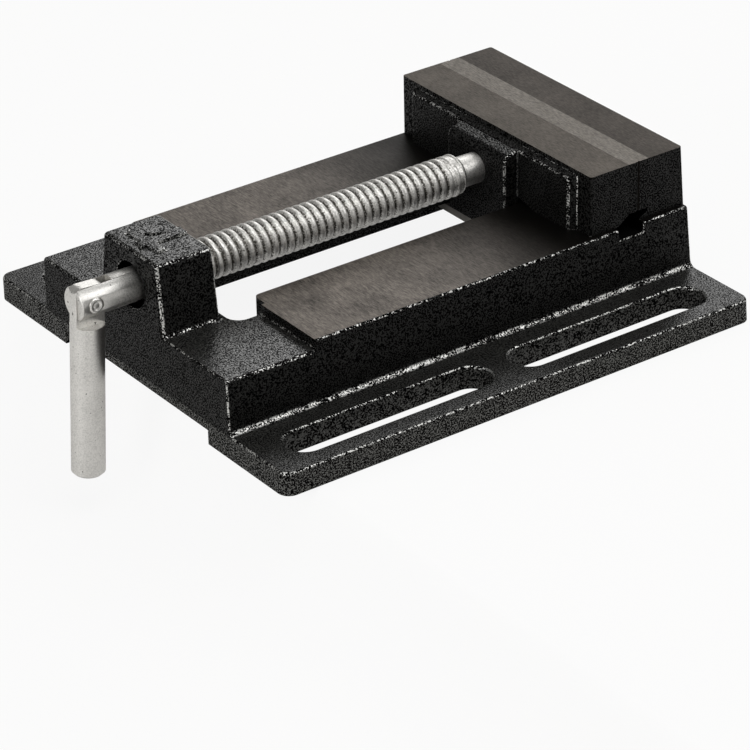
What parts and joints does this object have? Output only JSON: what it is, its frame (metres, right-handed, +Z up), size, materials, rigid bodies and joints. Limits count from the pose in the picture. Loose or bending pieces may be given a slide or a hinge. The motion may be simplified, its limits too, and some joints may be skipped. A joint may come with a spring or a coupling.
{
  "type": "drill press vise",
  "caption": "Flat machine vise with slotted flanges, ground rails, a screw-driven sliding jaw, chequered jaw plates and a hinged round handle.",
  "frame": {"origin": "centre of the four flange slots, on the underside of the base", "axes": "+X from the handle end to the fixed jaw, +Z up, square to the base"},
  "size_m": [0.2072, 0.164, 0.0731],
  "materials": {
    "casting": "black and silver hammered paint, with ground rails and jaw tops",
    "black_steel": "blackened, chequered face, ground top edge",
    "plain_steel": "plain rolled",
    "fastener_steel": "zinc plated",
    "zinc_plated_steel": "bright zinc plated"
  },
  "bodies": {
    "base": {"base_casting": "casting", "fixed_jaw_plate": "black_steel", "fixed_plate_screw_near": "fastener_steel", "fixed_plate_screw_far": "fastener_steel"},
    "sliding_jaw": {"moving_jaw": "casting", "moving_jaw_plate": "black_steel", "moving_plate_screw_near": "fastener_steel", "moving_plate_screw_far": "fastener_steel", "keeper_plate": "plain_steel", "keeper_screw_front": "fastener_steel", "keeper_screw_rear": "fastener_steel", "keeper_washer_front": "fastener_steel", "keeper_washer_rear": "fastener_steel", "retaining_pin_near": "plain_steel", "retaining_pin_far": "plain_steel"},
    "screw": {"spindle": "zinc_plated_steel", "handle_rivet": "zinc_plated_steel"},
    "handle": {"handle": "zinc_plated_steel"}
  },
  "joints": [
    {"name": "jaw_slide", "type": "slide", "parent": "base", "child": "sliding_jaw", "axis": [-1, 0, 0], "range_m": [0, 0.1]},
    {"name": "screw_turn", "type": "hinge", "parent": "sliding_jaw", "child": "screw", "pos_m": [0, 0, 0.038], "axis": [-1, 0, 0], "range_deg": [0, 12000]},
    {"name": "handle_swing", "type": "hinge", "parent": "screw", "child": "handle", "pos_m": [-0.107, 0, 0.038], "axis": [0, 1, 0], "range_deg": [-11.2, 184.8]}
  ],
  "couplings": [
    {"joint": "jaw_slide", "follows": "screw_turn", "m_per_rad": 0.00047746}
  ]
}
